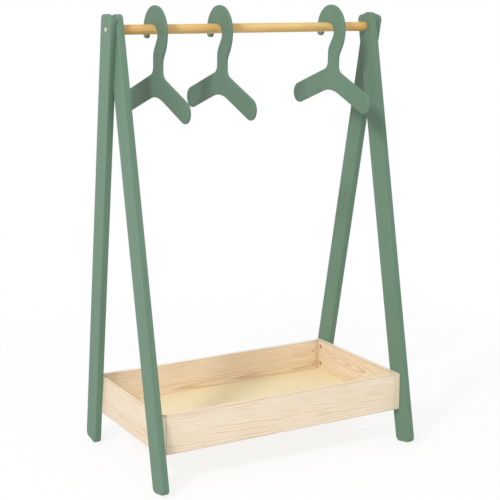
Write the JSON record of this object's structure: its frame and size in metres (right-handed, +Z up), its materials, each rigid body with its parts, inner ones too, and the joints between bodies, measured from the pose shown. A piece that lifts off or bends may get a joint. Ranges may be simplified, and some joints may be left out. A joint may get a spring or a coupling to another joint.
{
  "type": "children's clothes rack",
  "caption": "Child-size wooden clothes rack: crossed-leg trestles, a round rail with flat hook hangers, and a shallow open tray between the legs.",
  "frame": {"origin": "on the floor, under the middle of the rail", "axes": "+X along the rail to the right, +Y to the rear, +Z up; the front of the rack faces -Y"},
  "size_m": [0.6484, 0.4048, 0.9597],
  "materials": {
    "green_paint": "satin sage-green paint",
    "hanger_paint": "satin sage-green paint",
    "rail_wood": "clear lacquer on beech",
    "pale_wood": "clear matt lacquer on pine",
    "tray_board": "plain thin board",
    "zinc_steel": "bright zinc",
    "bronze_steel": "dull bronze",
    "insert_steel": "zinc"
  },
  "bodies": {
    "rack": {"corner_bolts_front_left": "bronze_steel", "corner_bolts_front_right": "bronze_steel", "corner_bolts_rear_left": "bronze_steel", "corner_bolts_rear_right": "bronze_steel", "corner_nuts_front_left": "bronze_steel", "corner_nuts_front_right": "bronze_steel", "corner_nuts_rear_left": "bronze_steel", "corner_nuts_rear_right": "bronze_steel", "leg_front_left": "green_paint", "leg_front_right": "green_paint", "leg_inserts_front_left": "insert_steel", "leg_inserts_front_right": "insert_steel", "leg_inserts_rear_left": "insert_steel", "leg_inserts_rear_right": "insert_steel", "leg_rear_left": "green_paint", "leg_rear_right": "green_paint", "rail": "rail_wood", "rail_bolt_left": "zinc_steel", "rail_bolt_right": "zinc_steel", "rail_insert_left": "insert_steel", "rail_insert_right": "insert_steel", "tray_bolts_front_left": "bronze_steel", "tray_bolts_front_right": "bronze_steel", "tray_bolts_rear_left": "bronze_steel", "tray_bolts_rear_right": "bronze_steel", "tray_bottom": "tray_board", "tray_panel_front": "pale_wood", "tray_panel_left": "pale_wood", "tray_panel_rear": "pale_wood", "tray_panel_right": "pale_wood"},
    "hanger_left": {"hanger_left": "hanger_paint"},
    "hanger_middle": {"hanger_middle": "hanger_paint"},
    "hanger_right": {"hanger_right": "hanger_paint"}
  },
  "joints": [
    {"name": "hanger_left_slide", "type": "slide", "parent": "rack", "child": "hanger_left", "axis": [1, 0, 0], "range_m": [-0.0715, 0.0685]},
    {"name": "hanger_middle_slide", "type": "slide", "parent": "rack", "child": "hanger_middle", "axis": [1, 0, 0], "range_m": [-0.067, 0.127]},
    {"name": "hanger_right_slide", "type": "slide", "parent": "rack", "child": "hanger_right", "axis": [1, 0, 0], "range_m": [-0.1355, 0.0895]}
  ]
}
